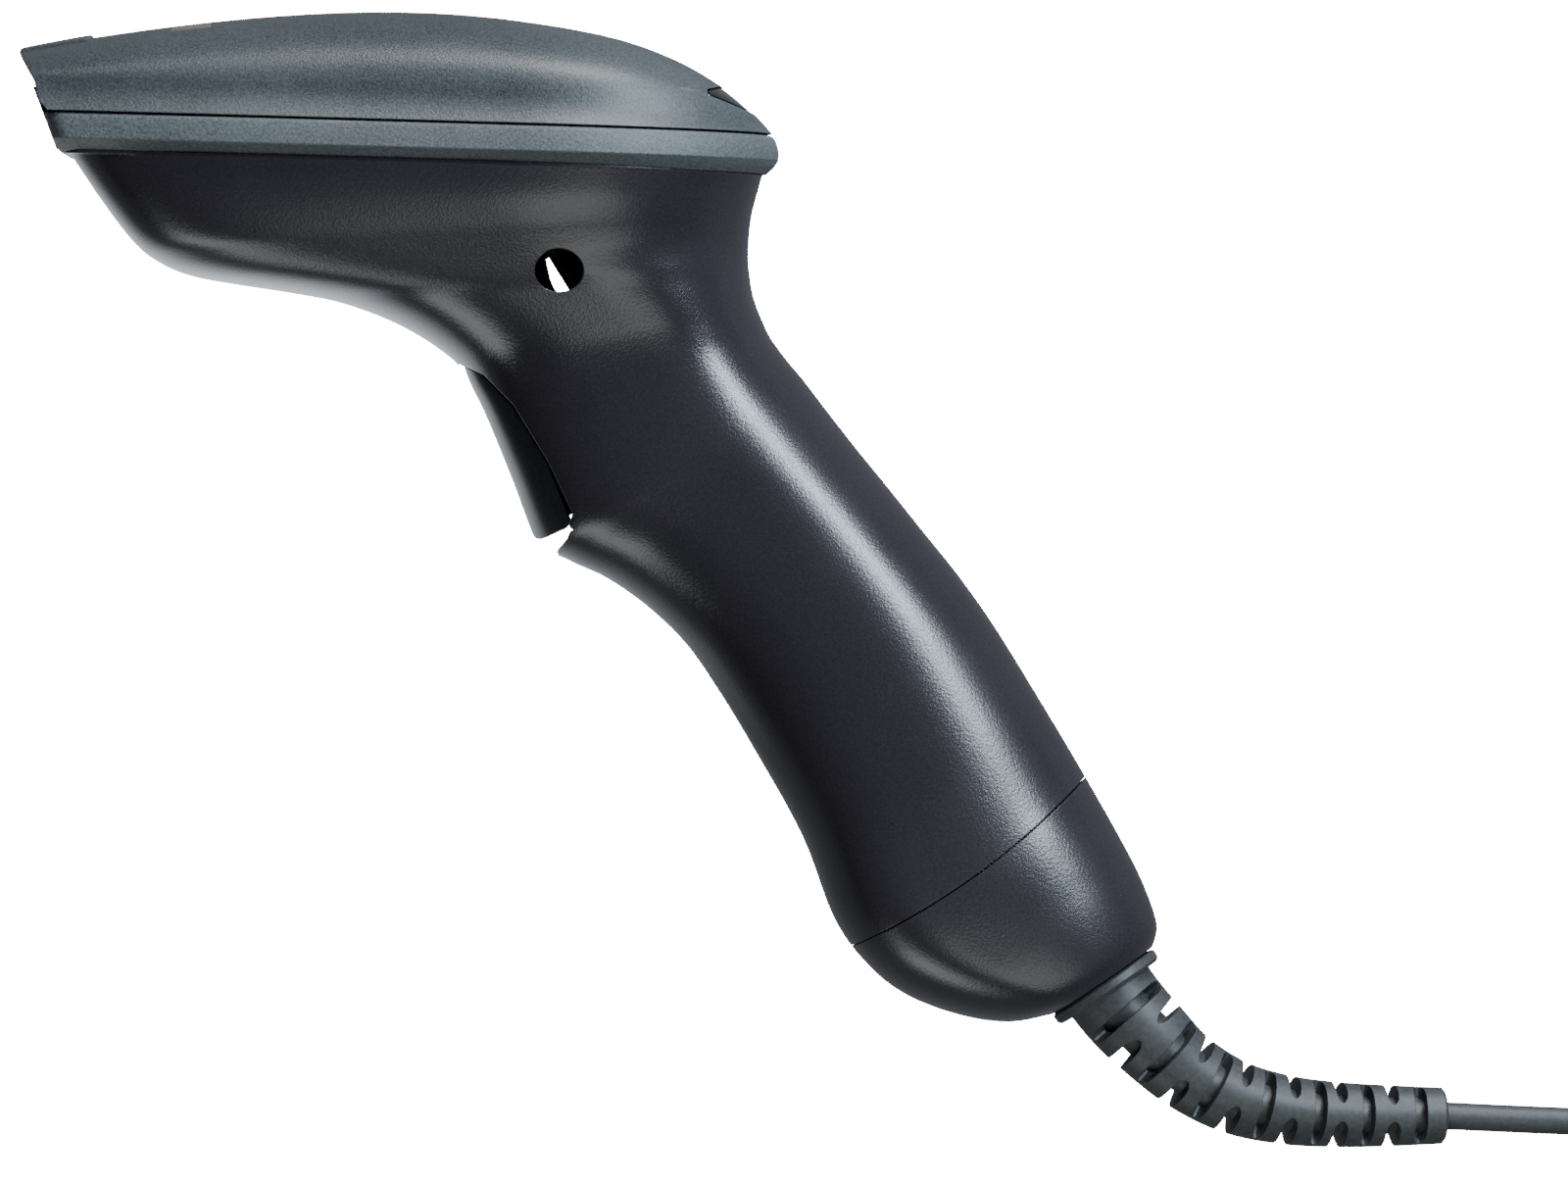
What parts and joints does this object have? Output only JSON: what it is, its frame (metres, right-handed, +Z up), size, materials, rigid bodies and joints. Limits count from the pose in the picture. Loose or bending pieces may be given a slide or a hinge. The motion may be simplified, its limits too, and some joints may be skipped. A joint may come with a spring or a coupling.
{
  "type": "handheld barcode scanner",
  "caption": "Pistol-grip handheld barcode scanner lying on its side, with a sprung trigger, a slotted strain relief and a coiled USB cable.",
  "frame": {"origin": "centre of the bottom of the box round the scanner and its strain relief, without the cable and plug; the scanner lies on its side", "axes": "+X from the nose along the head towards the cable's end, +Y from the handle towards the top cover, +Z up from the table through the scanner's left side"},
  "size_m": [0.336, 0.1762, 0.0637],
  "materials": {
    "housing": "satin moulded plastic",
    "cover": "spark-textured plastic",
    "band": "textured soft rubber",
    "trigger": "satin moulded plastic",
    "bezel": "gloss",
    "window": "polished, red tinted",
    "indicator": "translucent smoke",
    "badge": "plain satin plate",
    "chassis": "black moulded plastic",
    "board": "coated circuit board",
    "chip": "moulded package",
    "connector": "natural nylon",
    "lens": "polished",
    "lens_barrel": "black anodised",
    "led": "clear red epoxy",
    "clear_plastic": "moulded",
    "ribbon": "polyimide film",
    "steel": "plated",
    "spring_steel": "bright wire",
    "wire": "PVC insulation",
    "cable_rubber": "matt PVC",
    "tie": "hook-and-loop tape",
    "contacts": "gold plated",
    "tongue": "moulded insulator"
  },
  "bodies": {
    "housing": {"top_cover": "cover", "blank_badge": "badge", "indicator_lens": "indicator", "bumper_band": "band", "left_shell": "housing", "right_shell": "housing", "end_cap": "housing", "shell_screws": "steel", "window_bezel": "bezel", "scan_window": "window", "optics_chassis": "chassis", "chassis_screws": "steel", "lens_barrel": "lens_barrel", "lens_elements": "lens", "sensor_board": "board", "line_sensor": "chip", "sensor_screws": "steel", "led_board": "board", "illumination_leds": "led", "main_board": "board", "board_spacers": "steel", "board_screws": "steel", "board_chips": "chip", "ribbon_socket": "connector", "ribbon_cable": "ribbon", "beeper": "chip", "indicator_led": "led", "light_pipe": "clear_plastic", "trigger_pin": "steel", "trigger_spring": "spring_steel", "switch_board": "board", "switch_body": "chip", "switch_pins": "steel", "board_connector": "connector", "modular_plug": "clear_plastic", "modular_jack": "chip", "jack_board": "board", "plug_contacts": "contacts", "handle_wires": "wire", "strain_relief": "cable_rubber", "cable": "cable_rubber", "cable_coil": "cable_rubber", "cable_end": "cable_rubber", "cable_tie": "tie", "usb_overmould": "cable_rubber", "usb_shell": "steel", "usb_tongue": "tongue", "usb_contacts": "contacts"},
    "trigger": {"trigger": "trigger"},
    "plunger": {"switch_plunger": "led"}
  },
  "joints": [
    {"name": "trigger_hinge", "type": "hinge", "parent": "housing", "child": "trigger", "pos_m": [-0.03737, 0.03523, 0.0284], "axis": [0, -0.1089, 0.9941], "range_deg": [0, 6], "stiffness_Nm_per_rad": 0.6, "springref_deg": -2.86},
    {"name": "plunger_slide", "type": "slide", "parent": "housing", "child": "plunger", "axis": [0.8348, 0.5472, 0.0599], "range_m": [0, 0.0016]}
  ],
  "couplings": [
    {"joint": "plunger_slide", "follows": "trigger_hinge", "m_per_rad": 0.014}
  ]
}
